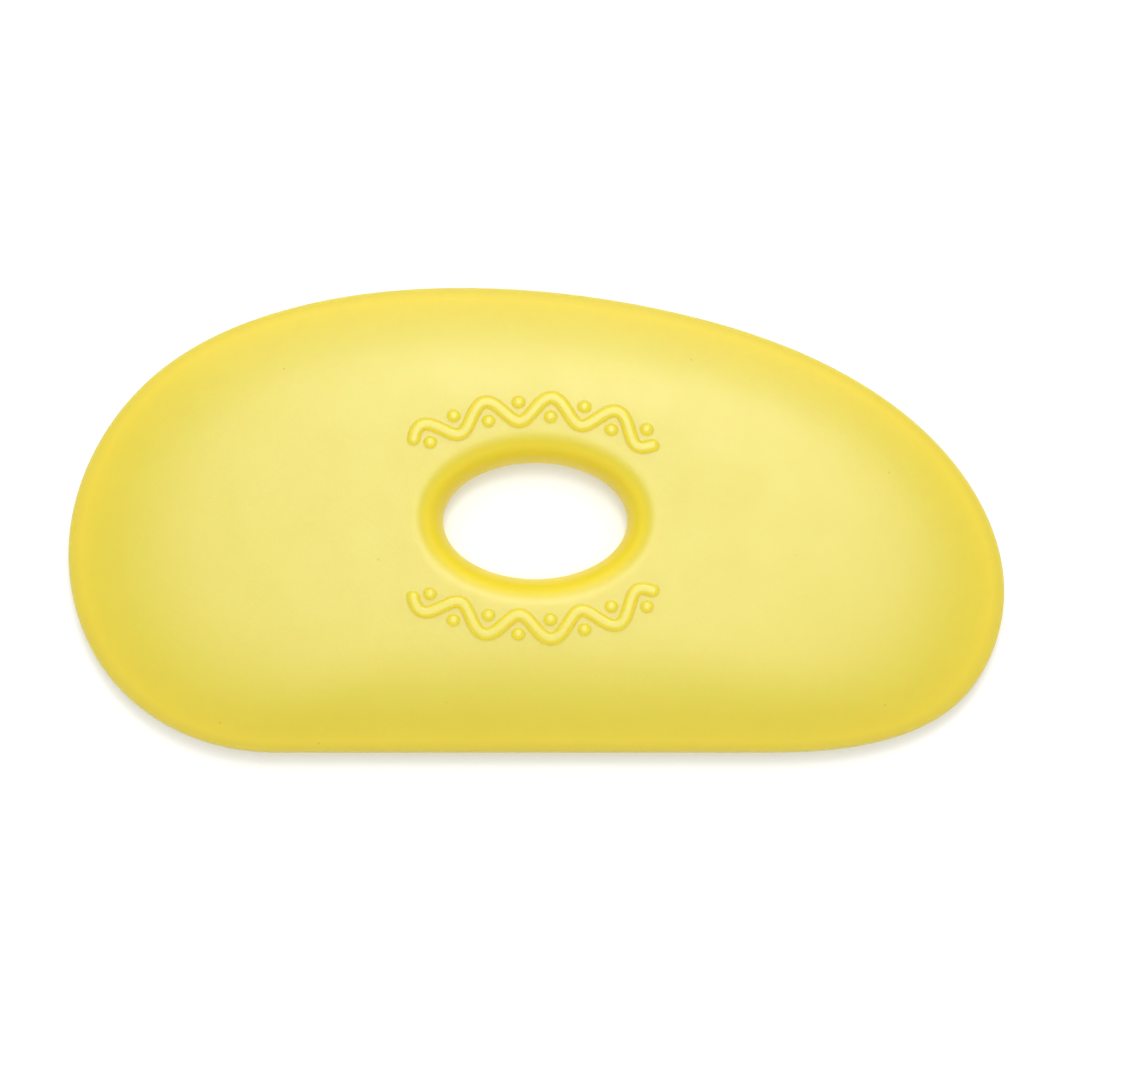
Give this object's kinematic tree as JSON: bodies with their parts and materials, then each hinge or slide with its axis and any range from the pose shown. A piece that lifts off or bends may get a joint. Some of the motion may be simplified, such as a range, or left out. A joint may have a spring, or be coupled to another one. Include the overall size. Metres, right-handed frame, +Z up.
{
  "type": "potter's rib",
  "caption": "Flexible kidney-like potter's rib: a lens-shaped blade with one straight side, a thin round edge, an oval finger hole and a raised wave on its upper face.",
  "frame": {"origin": "centre of the blade's outline, on the plane that the blade lies on", "axes": "+X along the blade towards its blunter end, +Y away from the straight side, +Z up out of the face with the raised wave"},
  "size_m": [0.089, 0.0444, 0.0059],
  "materials": {
    "urethane": "soft cast polyurethane, clear yellow with a milky depth, satin surface"
  },
  "bodies": {
    "root": {"rib": "urethane"}
  },
  "joints": []
}
